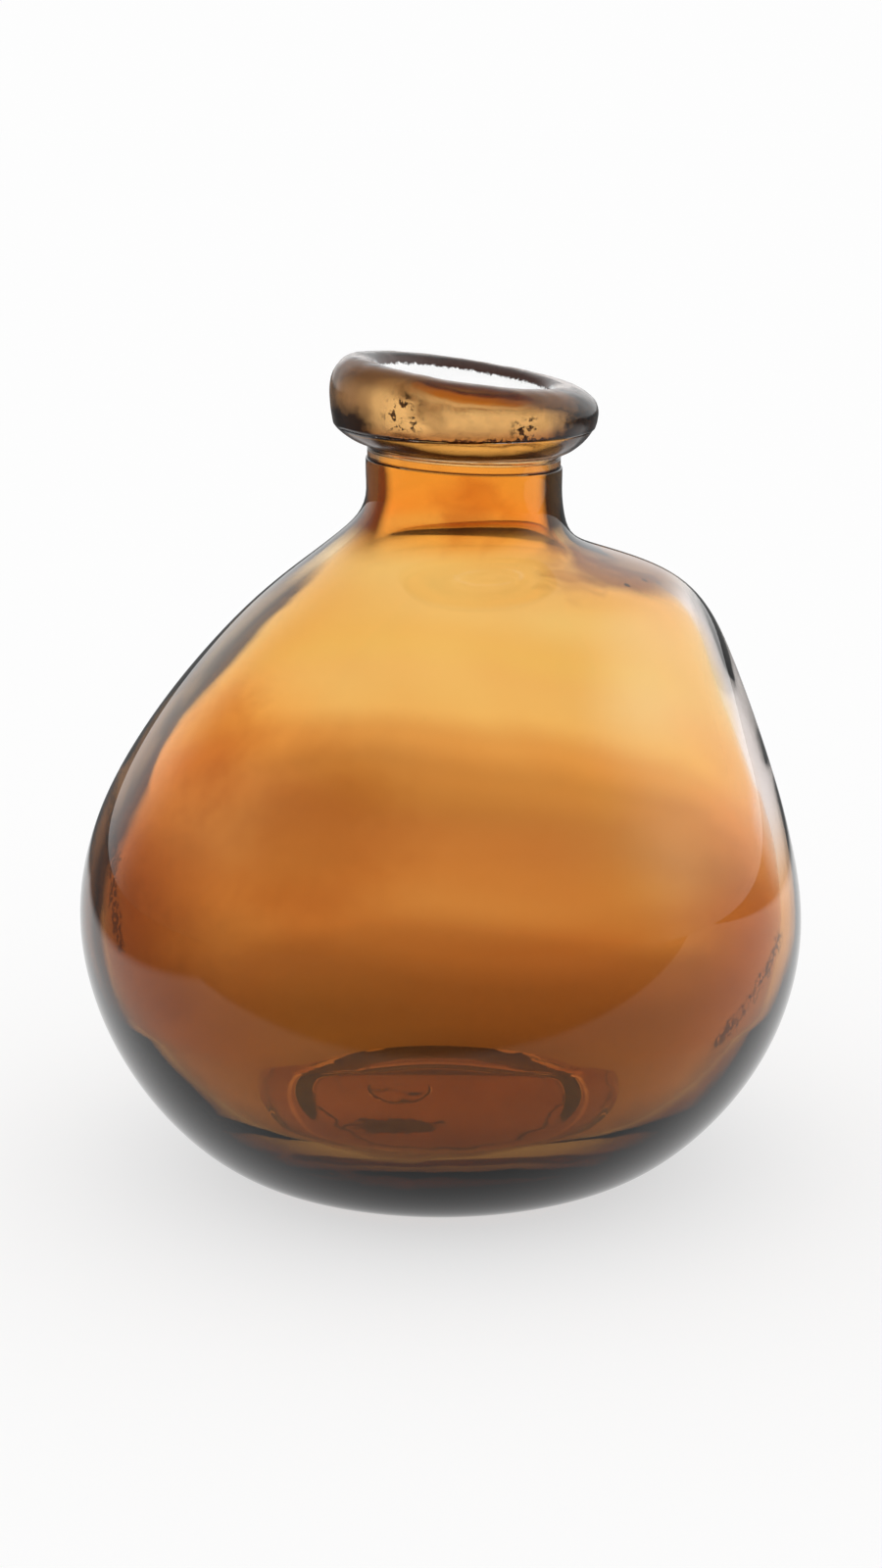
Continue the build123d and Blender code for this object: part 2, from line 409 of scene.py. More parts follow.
def measure_wall(tree):
    """A point of the body: its place in mm and how it is looked at."""
    place = place_in_mm(tree)
    axes = add_node(tree, "SeparateXYZ", {0: place}).outputs
    edge_on = add_node(tree, "LayerWeight", {"Blend": 0.5}).outputs["Facing"]
    inward = add_node(tree, "NewGeometry").outputs["Backfacing"]
    outside = add_node(tree, "Attribute", attribute_name="outside").outputs["Fac"]
    waves = centred(tree, cloudy(tree, 26.0))
    wavy = combine(tree, edge_on, product(tree, waves, 0.06))
    rise = product(tree, combine(tree, axes["Z"], FOOT_START, "SUBTRACT"), FOOT_SLOPE)
    return {
        "place": place,
        "x": axes["X"],
        "z": axes["Z"],
        "from_neck": combine(tree, axes["X"], NECK_OFFSET, "SUBTRACT"),
        "inward": inward,
        "outside": outside,
        "seen": product(tree, outside, one_minus(tree, inward)),
        "edge_on": edge_on,
        "wavy": wavy,
        "past_foot": combine(tree, wavy, combine(tree, rise, FOOT_FACING), "SUBTRACT"),
    }


# %% Shades of the wall
LEFT, BELLY_ONLY = ("x", 5, -30), ("z", 172, 160)
EDGE_SHADES = [  # tint, then the masks that it comes in by
    ((1.0, 0.71, 0.41), "seen", BELLY_ONLY, ("edge_on", 0.15, 0.55)),  # deeper edges
    # painted shade: the dark room seen in the left edge, as a rim and a line inside it
    ((0.08, 0.07, 0.10), "seen", LEFT, BELLY_ONLY, ("wavy", 0.62, 0.70)),  # dark rim
    ((0.03, 0.02, 0.02), "seen", LEFT, BELLY_ONLY, ("wavy", 0.58, 0.64), ("wavy", 0.76, 0.68)),  # its line
]
RIGHT, CREST, NECK_ONLY = ("x", -5, 30), (("z", 157, 163), ("z", 176, 170)), ("z", 168, 177)
DARK_SHADES = [
    # painted shade at the edges: the crest of the right shoulder and both sides of the neck
    ((0.16, 0.09, 0.08), "seen", RIGHT, *CREST, ("wavy", 0.54, 0.64)),  # crest of the shoulder
    ((0.04, 0.012, 0.005), "seen", NECK_ONLY, ("from_neck", -8, -16), ("edge_on", 0.3, 0.42)),
    ((0.004, 0.003, 0.004), "seen", NECK_ONLY, ("from_neck", 8, 16), ("edge_on", 0.32, 0.46)),
    # darker low down: partly thicker glass, partly painted shade of the shadowed table
    ((0.11, 0.04, 0.02), "seen", ("z", 42, 23)),  # thick glass low down
    ((0.13, 0.06, 0.04), "seen", ("past_foot", -0.26, -0.04), ("z", 75, 50)),  # painted shade: grey edge above the foot, the shadowed table seen in it
    # painted shade: black foot, the shadowed table seen in the heel
    ((0.0008, 0.0004, 0.0004), "seen", ("past_foot", -0.05, 0.05), ("z", 85, 60)),  # black foot
]
print("shades of the wall:", len(EDGE_SHADES) + len(DARK_SHADES))

# %% Amber glass of the body
INK = (0.0004, 0.0004, 0.0004)
LOW_SHINE = (0.28, 0.28, 0.28)  # even less low down, where the bright table mirrors


def paint_right_reflection(tree, colour, wall):
    """Paint a pale reflection of the bright light on the right into the edge of the right side of the
    belly.
    """
    right_belly = product(tree, (wall["x"], 40, 66), (wall["z"], 166, 156), (wall["z"], 78, 108))
    leaving = product(tree, wall["outside"], wall["inward"], right_belly, 0.8)
    pale = product(tree, wall["seen"], right_belly, (wall["wavy"], 0.58, 0.72))
    return blend(tree, combine(tree, pale, leaving, "MAXIMUM"), colour, (1.0, 0.93, 0.93))


def make_amber_glass():
    material, tree, shader = start_glass("amber_glass")
    wall = measure_wall(tree)
    colour = colour_in_the_wall(tree, wall["place"], wall["z"])
    # black seeds, and painted shade streaks near the edges
    marks = product(tree, wall["seen"], seeds_and_shade_streaks(tree, wall["place"]))
    colour = shade_by(tree, colour, marks, INK)
    colour = shade_all(tree, colour, EDGE_SHADES, wall)
    # painted reflection at the right edge of the belly
    colour = paint_right_reflection(tree, colour, wall)
    colour = shade_all(tree, colour, DARK_SHADES, wall)
    tree.links.new(colour, shader.inputs["Base Color"])
    shine = blend(tree, remap(tree, wall["z"], 80, 45), HALF_SHINE, LOW_SHINE)
    tree.links.new(blend(tree, wall["inward"], shine, CLEAR), shader.inputs["Specular Tint"])
    return material


amber_glass = make_amber_glass()

# %% [markdown]
# ## The base finish
# The bottom is the thickest glass and is painted darkest, partly as painted shade of the table under it.
# Through the front of the vase one sees the ring where the floor was pressed up: its bright rim, dark
# crescent and thin dark lines are painted light and shade where the glass bends light at the steps of
# the raised floor. A smear of burnt glass is painted too. All are masks by distance, with wobbly edges,
# and not modelled.

# %% Glass of the base
MAROON = (0.004, 0.0012, 0.001)
SMEAR_PLACE, SMEAR_STRETCH = (-12.0, -29.0, 0.0), (0.36, 1.0, 0.0)  # the smear is longer than wide
OVAL_MIDDLE, OVAL_STRETCH = (0.0, 3.0, 0.0), (1.0, 0.77, 0.0)  # the ring is deeper than wide


def draw_base_rings(tree, colour, reach, oval, y, upper):
    """Painted light and shade of the raised floor: a bright amber rim, a maroon crescent inside it, and
    thin dark lines, by reach from the middle in mm.
    """
    behind, ahead = (y, -14, 12), (y, 4, -8)
    # painted light: the bright rim where light comes through the moat
    rim = product(tree, (oval, 39.8, 41.0), (oval, 44.0, 42.0), upper, behind)
    colour = blend(tree, rim, colour, (1.0, 0.50, 0.14))
    inner_edge = combine(tree, oval, product(tree, (y, 0, 40), 9.5))
    # painted shade: the dark crescent inside the rim
    arc = product(tree, (inner_edge, 38.4, 39.2), (oval, 40.8, 40.0), upper, behind)
    colour = blend(tree, arc, colour, MAROON)
    # painted shade: thin dark lines where the glass bends light at the steps of the floor and at the heel
    inner_shade_line = product(tree, (oval, 29.0, 29.5), (oval, 30.3, 29.8), upper, behind)
    colour = shade_by(tree, colour, inner_shade_line, (0.15, 0.08, 0.08))
    line = product(tree, (oval, 36.2, 36.8), (oval, 37.8, 37.2), upper, ahead)
    colour = shade_by(tree, colour, line, (0.05, 0.03, 0.03))
    outer_line = product(tree, (reach, 50.0, 50.6), (reach, 51.4, 50.9), upper)
    return shade_by(tree, colour, outer_line, (0.25, 0.2, 0.2))


def make_base_glass():
    material, tree, shader = start_glass("base_glass")
    place = place_in_mm(tree)
    axes = add_node(tree, "SeparateXYZ", {0: place}).outputs
    upper = (axes["Z"], 8.0, 9.5)
    # darkest glass, partly painted shade of the table under the base
    colour = height_ramp(tree, axes["Z"], {0: (0.29, 0.09, 0.018), 14: (0.37, 0.115, 0.024)}, 2.0)
    colour = shade_by(tree, colour, cloudy(tree, 25.0), (0.75, 0.7, 0.7))

    waves = centred(tree, cloudy(tree, 11.0))
    fine = centred(tree, grainy(tree, 4.0))
    wobble = combine(tree, product(tree, waves, 2.4), product(tree, fine, 3.0))
    oval = combine(tree, distance_from(tree, place, OVAL_MIDDLE, OVAL_STRETCH), wobble)
    reach = combine(tree, distance_from(tree, place, (0, 0, 0), (1, 1, 0)), wobble)
    colour = draw_base_rings(tree, colour, reach, oval, axes["Y"], upper)
    smear = distance_from(tree, place, SMEAR_PLACE, SMEAR_STRETCH)
    smear = combine(tree, smear, product(tree, fine, 9.0))
    colour = blend(tree, product(tree, (smear, 5.4, 4.0), upper), colour, MAROON)
    tree.links.new(colour, shader.inputs["Base Color"])
    return material


base_glass = make_base_glass()

# %% [markdown]
# ## The lip finish
# The lip was added hot and rolled with tools, so its skin is grainier and blurs what lies behind it. Its
# colour changes by level: a pale band, a golden underside and the brown ring, with a burnt line along
# the seam. Its ends are nearly black, partly because one looks along the ring there, through much glass,
# and partly as painted shade of the dark room that the ring bends in. The front shoulder of the ring and
# the lines at its steps are painted shade too, and the greyish flat top is a painted reflection.

# %% Measures of the lip
BORE_RADIUS = 22.4
NECK_TOP, NECK_TILT = 191.8, 3.0
BAND_TOP, SEAM_HEIGHT, RING_TOP, RING_TILT = 195.4, 201.0, 215.4, 8.5


def measure_lip(tree):
    """A point of the lip: its place in mm from the neck's axis and how it is looked at."""
    place = place_in_mm(tree, (-NECK_OFFSET, 0, 0))
    x, y, z = add_node(tree, "SeparateXYZ", {0: place}).outputs
    surface = add_node(tree, "NewGeometry").outputs
    edge_on = add_node(tree, "LayerWeight", {"Blend": 0.5}).outputs["Facing"]
    skin = grainy(tree, 2.6)
    ragged = product(tree, centred(tree, skin), 7.0)
    fringe = product(tree, centred(tree, grainy(tree, 1.3)), 5.0)
    neck_slope, ring_slope = math.tan(math.radians(NECK_TILT)), math.tan(math.radians(RING_TILT))
    ring_level = combine(tree, z, product(tree, x, ring_slope))
    return {
        "place": place,
        "aside": add_node(tree, "Math", {0: x}, operation="ABSOLUTE").outputs[0],
        "y": y,
        "z": z,
        "reach": distance_from(tree, place, (0, 0, 0), (1, 1, 0)),
        "inward": surface["Backfacing"],
        "upward": add_node(tree, "SeparateXYZ", {0: surface["Normal"]}).outputs["Z"],
        "edge_on": edge_on,
        "skin": skin,
        "ragged_z": combine(tree, z, ragged),
        "ragged_edge": combine(tree, edge_on, product(tree, ragged, 0.04)),
        "torn_z": combine(tree, z, fringe),
        "torn_ring": combine(tree, ring_level, product(tree, fringe, 0.5)),
        "neck_level": combine(tree, z, product(tree, x, neck_slope)),
    }


# %% Shades of the lip
ABOVE_BAND, RING = ("z", BAND_TOP - 0.2, BAND_TOP + 0.6), ("z", SEAM_HEIGHT - 0.5, SEAM_HEIGHT)
BELOW_FLANGE, BELOW_RING = ("z", BAND_TOP + 0.6, BAND_TOP - 0.2), ("z", SEAM_HEIGHT, SEAM_HEIGHT - 0.5)
LOW_RING = ("ragged_z", SEAM_HEIGHT + 10, SEAM_HEIGHT + 5)
BAND_COLOUR = (0.90, 0.36, 0.06)
LIP_COLOURS = {  # heights over which the colour changes: what it changes to
    ("z", BAND_TOP - 1.6, BAND_TOP + 0.3): (0.60, 0.30, 0.10),
    ABOVE_BAND: (0.66, 0.14, 0.006),
    RING: (0.28, 0.04, 0.002),
    ("z", SEAM_HEIGHT + 0.5, SEAM_HEIGHT + 5): (0.80, 0.25, 0.03),
}
LIP_SHADES = [  # tint, then the masks that it comes in by
    # painted shade: the front shoulder, and the dark sides and ends of the ring, underside and band
    ((0.22, 0.16, 0.13), ("y", 6.0, -6.0), RING, ("upward", 0.05, 0.6)),  # front shoulder of the ring
    ((0.16, 0.13, 0.15), RING, ("edge_on", 0.08, 0.42)),  # its sides
    ((0.006, 0.004, 0.004), RING, LOW_RING, ("ragged_edge", 0.2, 0.42)),  # its ends
    ((0.004, 0.002, 0.002), ABOVE_BAND, BELOW_RING, ("edge_on", 0.36, 0.56)),  # ends of the underside
    ((0.10, 0.06, 0.06), BELOW_FLANGE, ("edge_on", 0.3, 0.6)),  # ends of the band
    # painted shade in the steps over the band and on the neck
    ((0.05, 0.02, 0.015), ABOVE_BAND, ("z", BAND_TOP + 1.0, BAND_TOP + 0.6)),  # line over the band
    ((0.02, 0.008, 0.006), RING, ("torn_z", SEAM_HEIGHT + 1.0, SEAM_HEIGHT + 0.4)),  # burnt seam
    ((0.03, 0.012, 0.008), ("neck_level", NECK_TOP + 0.8, NECK_TOP + 0.35)),  # step on the neck
]
BITES = {(-15, -30, 208): 8.0, (15, -31, 204): 5.5}  # centre: radius in mm of a chewed patch
print("shades of the lip:", len(LIP_SHADES))


# %% Colour of the lip
def colour_of_lip(tree, lip):
    """The band, the underside and the ring, each by its level, with clouds."""
    colour = BAND_COLOUR
    for (_, low, high), over in LIP_COLOURS.items():
        colour = blend(tree, remap(tree, lip["z"], low, high), colour, over)
    return shade_by(tree, colour, cloudy(tree, 18.0), (0.75, 0.7, 0.68))


def chew_lip(tree, colour, lip):
    """Two patches with black bites."""
    bitten = (grainy(tree, 1.6), 0.53, 0.57)
    for centre, radius in BITES.items():
        spot = (distance_from(tree, lip["place"], centre), radius, radius * 0.5)
        colour = shade_by(tree, colour, product(tree, spot, bitten), (0.01, 0.006, 0.005))
    return colour


def finish_lip_top(tree, colour, lip):
    """A painted grey reflection on the sides of the flat top, clear glass in the bore and a dark edge
    behind the mouth.
    """
    # painted reflection of the light above on the flat top
    flat = product(tree, (lip["upward"], 0.6, 0.9), (lip["aside"], 19, 26), (lip["y"], -9, 0))
    colour = blend(tree, flat, colour, (0.46, 0.36, 0.32))
    clear = combine(tree, remap(tree, lip["reach"], 24.0, 23.0), lip["inward"], "MAXIMUM")
    colour = blend(tree, clear, colour, CLEAR)
    high = (lip["torn_ring"], RING_TOP - 2.7, RING_TOP - 2.1)
    dark_back_edge = product(tree, high, (lip["reach"], 26.4, 25.6), (lip["y"], -2.0, 6.0))
    return blend(tree, dark_back_edge, colour, (0.004, 0.0012, 0.0008))


# %% Glass of the lip
def make_lip_glass():
    material, tree, shader = start_glass("lip_glass")
    lip = measure_lip(tree)
    colour = shade_all(tree, colour_of_lip(tree, lip), LIP_SHADES, lip)
    colour = finish_lip_top(tree, chew_lip(tree, colour, lip), lip)
    tree.links.new(colour, shader.inputs["Base Color"])
    frosted = remap(tree, lip["skin"], 0.35, 0.7, 0.12, 0.26)
    blurred = (lip["reach"], BORE_RADIUS + 0.3, BORE_RADIUS + 1.5)
    roughness = product(tree, frosted, blurred, (lip["z"], *ABOVE_BAND[1:]))
    tree.links.new(roughness, shader.inputs["Roughness"])
    bump = add_node(tree, "Bump", {"Height": lip["skin"], "Strength": 0.2, "Distance": 0.12 * MM})
    tree.links.new(bump.outputs[0], shader.inputs["Normal"])
    return material


lip_glass = make_lip_glass()

# %% [markdown]
# ## Joins that don't show
# The pieces are separate, but the real glass is one. Two glass faces against each other would mirror
# light at the join. So the faces of a join get a material with no opacity, and light goes straight on.

# %% Clear joins
clear_join = bpy.data.materials.new("clear_join")
clear_join.use_nodes = True
clear_join.node_tree.nodes["Principled BSDF"].inputs["Alpha"].default_value = 0.0
print("materials:", [m.name for m in (amber_glass, base_glass, lip_glass, clear_join)])

# %% [markdown]
# ## A smooth line through a few stations
# A blown belly has no corners, so its outline is a curve through a few measured stations. A natural
# cubic spline is the curve that a thin springy batten takes when it is pinned at those stations.


# %% Spline helper
def smooth_through(places, values, wanted):
    """Values of a natural cubic spline through (places, values), read at the wanted places."""
    gaps, rises = np.diff(places), np.diff(values)
    count = len(places)
    grid, side = np.eye(count), np.zeros(count)
    for i in range(1, count - 1):
        grid[i, i - 1 : i + 2] = gaps[i - 1], 2 * (gaps[i - 1] + gaps[i]), gaps[i]
        side[i] = 6 * (rises[i] / gaps[i] - rises[i - 1] / gaps[i - 1])
    bend = np.linalg.solve(grid, side)
    at = np.clip(np.searchsorted(places, wanted) - 1, 0, count - 2)
    gap, before, after = gaps[at], wanted - places[at], places[at + 1] - wanted
    straight = (values[at] * after + values[at + 1] * before) / gap
    curve = bend[at] * (after**3 / gap - gap * after) + bend[at + 1] * (before**3 / gap - gap * before)
    return straight + curve / 6


# %% [markdown]
# ## The belly, shoulder and neck
# The body is one bubble of glass, lopsided because it was blown free. It could be lofted from curves,
# but a spun tube keeps clean rings: an upright line is spun round the axis, and then each ring is pushed
# out to the reach that the glass has to the left, right, front and back at that height.

# %% Body sizes
BELLY = [  # height, reach left, right, front and back, in mm
    (6.0, 61.9, 61.9, 61.9, 61.9),
    (16.0, 74.4, 74.9, 74.2, 74.2),
    (36.0, 88.5, 89.4, 86.8, 86.8),
    (66.0, 97.0, 97.0, 94.5, 94.5),
    (96.0, 92.3, 92.6, 90.5, 90.0),
    (120.0, 78.9, 84.8, 79.0, 80.0),
    (140.0, 63.4, 77.1, 67.0, 69.5),
    (153.0, 51.0, 70.4, 57.0, 60.5),
    (161.0, 41.8, 61.5, 48.0, 51.0),
    (167.0, 34.2, 46.0, 37.5, 39.5),
    (172.0, 28.0, 35.2, 30.2, 31.0),
    (178.0, 21.9, 32.4, 26.6, 26.8),
]
HEEL_RADIUS, HEEL_RISE, HEEL_INSIDE = 53.0, 2.3, 11.0
NECK_RADIUS, BAND_RADIUS = 25.7, 25.3
NECK_FOOT, NECK_MIDDLE = 184.0, 188.0
JOIN_GAP = 0.02  # a hair of room between two pieces at a fused join


def round_station(height, radius, offset=0.0):
    return (height, radius - offset, radius + offset, radius, radius)


body_stations = [round_station(HEEL_RISE, HEEL_RADIUS + JOIN_GAP), *BELLY]
neck_heights = (NECK_FOOT, NECK_MIDDLE, NECK_TOP)
body_stations += [round_station(height, NECK_RADIUS, NECK_OFFSET) for height in neck_heights]
print("stations up the outside:", len(body_stations))

# %% Ringed tube helper
WIDEST, LOBES_END, LOBE_DEPTH = 66.0, 172.0, 1.5


def lobe_at(height):
    """Swell of the three soft lobes round the shoulder."""
    share = np.clip((height - WIDEST) / (LOBES_END - WIDEST), 0.0, 1.0)
    return LOBE_DEPTH * math.sin(math.pi * share) ** 2


def rows_along(stations, rings):
    """Stations read at evenly spaced rings along the outline."""
    table = np.array(stations)
    stride = np.hypot(np.diff(table[:, 1:].mean(axis=1)), np.diff(table[:, 0]))
    walked = np.concatenate([[0.0], np.cumsum(stride)])
    at = np.linspace(0.0, walked[-1], rings)
    return np.column_stack([smooth_through(walked, column, at) for column in table.T])


def spin_round(bm, geom, steps):
    """Spin vertices and edges once round Z."""
    axis, middle = (0, 0, 1), (0, 0, 0)
    bmesh.ops.spin(bm, geom=geom, axis=axis, cent=middle, angle=math.tau, steps=steps, use_merge=True)


def ringed_tube(bm, stations, rings, steps):
    """An open tube pushed out to its stations. Returns a list of its rings, from the foot up."""
    older = set(bm.verts)
    line = [bm.verts.new((1, 0, number)) for number in range(rings)]
    spin_round(bm, line + [bm.edges.new(pair) for pair in zip(line, line[1:])], steps)
    rows = rows_along(stations, rings)
    levels = [[] for row in rows]
    for vert in [v for v in bm.verts if v not in older]:
        number = round(vert.co.z)
        height, left, right, front, back = rows[number]
        turn = math.atan2(vert.co.y, vert.co.x)
        swell = lobe_at(height) * math.sin(3 * turn)
        x = (right - left) / 2 + ((left + right) / 2 + swell) * math.cos(turn)
        y = (back - front) / 2 + ((front + back) / 2 + swell) * math.sin(turn)
        vert.co = Vector((x, y, height)) * MM
        levels[number].append(vert)
    return levels


# %% [markdown]
# ## Two skins make a wall
# Glass bends light at both faces of its wall, so the wall is real: an outer tube, and an inner one moved
# in by the thickness. Blown glass is thicker towards its heavy base, so the thickness goes by height.

# %% The two skins of the body
BODY_STEPS, BODY_RINGS = 224, 130
HEEL_RINGS = 10  # rings over which the inside turns in to the heel line
WALL_BY_HEIGHT = {2: 9.0, 14: 10.0, 30: 8.0, 52: 6.2, 110: 6.0, 180: NECK_RADIUS - BORE_RADIUS}  # mm


def hollow_out(outer, inner):
    """Move the inner tube in from the outer one by the wall, square to the surface."""
    heights, walls = list(WALL_BY_HEIGHT), list(WALL_BY_HEIGHT.values())
    up = Vector((0, 0, HEEL_INSIDE - HEEL_RISE)) * MM
    for number, (outer_ring, inner_ring) in enumerate(zip(outer, inner)):
        share = min(number / HEEL_RINGS, 1.0)
        for outer_vert, inner_vert in zip(outer_ring, inner_ring):
            wall = float(np.interp(outer_vert.co.z / MM, heights, walls)) * MM
            inner_vert.co += up.lerp(-wall * outer_vert.normal, share * share * (3 - 2 * share))


def slant_neck(verts):
    """Lean the neck's top rings so that the last one lies on the slanted plane."""
    lean = math.tan(math.radians(NECK_TILT))
    for vert in verts:
        share = (vert.co.z / MM - NECK_FOOT) / (NECK_TOP - NECK_FOOT)
        vert.co.z -= max(share, 0.0) * lean * (vert.co.x - NECK_OFFSET * MM)


body_bm = bmesh.new()
outside_mark = body_bm.verts.layers.float.new("outside")
outer_levels = ringed_tube(body_bm, body_stations, BODY_RINGS, BODY_STEPS)
for vert in body_bm.verts:
    vert[outside_mark] = 1.0
bmesh.ops.recalc_face_normals(body_bm, faces=body_bm.faces)
body_bm.normal_update()
inner_levels = ringed_tube(body_bm, body_stations, BODY_RINGS, BODY_STEPS)
hollow_out(outer_levels, inner_levels)
slant_neck(body_bm.verts)
print("rings on the two skins:", len(outer_levels), len(inner_levels))


# %% Closing the neck and the heel
def loop_edges(verts):
    """The edges that run between the given vertices."""
    kept = set(verts)
    return [e for e in {e for v in verts for e in v.link_edges} if set(e.verts) <= kept]


head_edges = loop_edges(outer_levels[-1])
ledge = bmesh.ops.extrude_edge_only(body_bm, edges=head_edges)["geom"]
ledge_verts = [part for part in ledge if isinstance(part, bmesh.types.BMVert)]
shrink = Matrix.Scale(BAND_RADIUS / NECK_RADIUS, 4)
neck_axis = Matrix.Translation(Vector((-NECK_OFFSET, 0, -NECK_TOP)) * MM)
bmesh.ops.transform(body_bm, matrix=shrink, space=neck_axis, verts=ledge_verts)
rim_edges = loop_edges(ledge_verts) + loop_edges(inner_levels[-1])
neck_rim = bmesh.ops.bridge_loops(body_bm, edges=rim_edges)["faces"]
heel_edges = loop_edges(outer_levels[0]) + loop_edges(inner_levels[0])
heel_rim = bmesh.ops.bridge_loops(body_bm, edges=heel_edges)["faces"]
bmesh.ops.recalc_face_normals(body_bm, faces=body_bm.faces)
print("faces of the joins:", len(neck_rim), "at the neck,", len(heel_rim), "at the heel")

# %% [markdown]
# ## Ripples
# Hot glass sags and is turned by hand, so its skins are never quite even. Smooth noise pushes the rings
# in and out, most on the inside, where nothing touched the glass, and finely round the heel.

# %% Ripples in the wall
RIPPLE_FADE = 6  # rings over which ripples fade out towards an end
HEEL_RIPPLES_TOP = 45.0  # mm


def ripple(bm, levels, depth, length, seed, top):
    """Push rings in and out by noise, sizes in mm, fading up to a top. The end rings stay still."""
    bm.normal_update()
    last = len(levels) - 1
    moves = {}
    for number, ring in enumerate(levels):
        fade = min(1.0, number / RIPPLE_FADE, (last - number) / RIPPLE_FADE)
        for vert in ring:
            wave = noise.noise(vert.co / (length * MM) + Vector((seed, seed, seed)))
            weight = (1.0 - min((vert.co / MM).z / top, 1.0)) ** 2
            moves[vert] = vert.normal * wave * depth * MM * fade * weight
    for vert, move in moves.items():
        vert.co += move


RIPPLES = [  # rings, depth and length in mm, seed of the noise, top
    (outer_levels, 0.2, 40.0, 3.1, math.inf),
    (inner_levels, 0.6, 60.0, 7.7, math.inf),
    (inner_levels, 0.12, 25.0, 1.3, math.inf),
    (inner_levels, 0.8, 14.0, 5.9, HEEL_RIPPLES_TOP),
    (inner_levels, 0.25, 6.0, 2.4, HEEL_RIPPLES_TOP),
]
for settings in RIPPLES:
    ripple(body_bm, *settings)
print("ripples:", len(RIPPLES))

# %% [markdown]
# ## Making a piece
# Every piece is finished the same way: its faces are shaded smooth, the edges of a fused join stay
# sharp, and the join's own faces take the clear material.

# %% Body shell
SHARP_ANGLE = math.radians(40)
NECK_EDGE = 0.3  # rounding of the step where the neck meets the slimmer band


def round_off(bm, geom, offset, affect, segments):
    """Bevel edges or vertices into a round."""
    sizes = {"offset": offset, "offset_type": "OFFSET", "segments": segments, "profile": 0.5}
    bmesh.ops.bevel(bm, geom=geom, affect=affect, material=-1, **sizes)


def add_object(name, bm):
    """Turn a bmesh in metres into an object of the scene."""
    mesh = bpy.data.meshes.new(name)
    bm.to_mesh(mesh)
    bm.free()
    made = bpy.data.objects.new(name, mesh)
    scene.collection.objects.link(made)
    print(name, len(mesh.polygons), "faces")
    return made


def make_piece(name, bm, join_faces, glass):
    """A piece with a glass finish and clear joins."""
    for face in bm.faces:
        face.smooth = True
        face.material_index = int(face in join_faces)
    for edge in bm.edges:
        fused = len({face.material_index for face in edge.link_faces}) == 1
        edge.smooth = fused and edge.calc_face_angle(0.0) < SHARP_ANGLE
    piece = add_object(name, bm)
    piece.data.materials.append(glass)
    piece.data.materials.append(clear_join)
    return piece


round_off(body_bm, head_edges, NECK_EDGE * MM, "EDGES", 3)
body_shell = make_piece("body_shell_glass", body_bm, set(neck_rim) | set(heel_rim), amber_glass)

# %% [markdown]
# ## Turned pieces
# The base, the band and the lip are round, so each is an outline spun round an axis, like wood on a
# lathe. The outline starts as a few corners, and a vertex bevel rounds them.

# %% Lathe helper
ON_AXIS, SAME_PLACE, SAME_LEVEL = 1e-6, 1e-4, 1e-3  # mm


def rounded_outline(bm, corners, stride):
    """Corners are (radius, height, rounding) in mm. Leaves the outline's vertices and edges."""
    verts = [bm.verts.new((radius, 0, height)) for radius, height, rounding in corners]
    bm.faces.new(verts)
    for vert, (radius, height, rounding) in zip(verts, corners):
        if rounding:
            round_off(bm, [vert], rounding, "VERTICES", 8)
    bmesh.ops.delete(bm, geom=list(bm.faces), context="FACES_ONLY")
    for edge in list(bm.edges):
        cuts = int(edge.calc_length() / stride)
        if cuts:
            bmesh.ops.subdivide_edges(bm, edges=[edge], cuts=cuts)


def lathe(corners, stride, steps):
    """Spin a rounded outline round Z, in mm. Edges on the axis are left out, and poles are merged."""
    bm = bmesh.new()
    rounded_outline(bm, corners, stride)
    on_axis = [e for e in bm.edges if all(abs(v.co.x) < ON_AXIS for v in e.verts)]
    bmesh.ops.delete(bm, geom=on_axis, context="EDGES")
    bmesh.ops.delete(bm, geom=[v for v in bm.verts if not v.link_edges], context="VERTS")
    spin_round(bm, list(bm.verts) + list(bm.edges), steps)
    bmesh.ops.remove_doubles(bm, verts=bm.verts, dist=SAME_PLACE)
    bmesh.ops.recalc_face_normals(bm, faces=bm.faces)
    return bm


def level_faces(bm, height):
    """Faces that lie on one level."""
    return [f for f in bm.faces if all(abs(v.co.z - height) < SAME_LEVEL for v in f.verts)]


# %% [markdown]
# ## The base
# The thick bottom stands on a flat ring. Its middle was pushed up from below while it was soft, which
# leaves a hollow underneath, and inside a raised floor with a shallow moat round it.

# %% Base pad
BEARING_RADIUS, RECESS_RADIUS, RECESS_DEPTH = 47.0, 41.0, 6.0
RECESS_CEILING, RECESS_SINK = RECESS_RADIUS - 5, 1.0  # reach and fall of the push-up's ceiling
FLOOR_RADIUS, FLOOR_HEIGHT, FLOOR_CROWN = 36.5, 12.2, 0.7
MOAT_RADIUS, MOAT_HEIGHT = 45.0, 10.9
PONTIL_SHIFT, PONTIL_RADIUS = 12.0, 8.9  # the button lies to the left of the middle
BASE_STRIDE = 1.5
base_outline = [
    (0, RECESS_DEPTH, 0),
    (RECESS_CEILING, RECESS_DEPTH - RECESS_SINK, 2),
    (RECESS_RADIUS, 0, 1.5),
    (BEARING_RADIUS, 0, 3),
    (HEEL_RADIUS - JOIN_GAP, HEEL_RISE, 0),
    (HEEL_RADIUS - JOIN_GAP, HEEL_INSIDE, 0),
    (MOAT_RADIUS, MOAT_HEIGHT, 3),
    (FLOOR_RADIUS, FLOOR_HEIGHT, 3),
    (0, FLOOR_HEIGHT + FLOOR_CROWN, 0),
]
base_bm = lathe(base_outline, BASE_STRIDE, BODY_STEPS)


def on_heel(face):
    return all(math.hypot(v.co.x, v.co.y) > HEEL_RADIUS - 2 * JOIN_GAP for v in face.verts)


def under_button(face):
    """Faces of the push-up that the pontil button is fused to."""
    middle = face.calc_center_median()
    return face.normal.z < 0 and math.hypot(middle.x + PONTIL_SHIFT, middle.y) < PONTIL_RADIUS


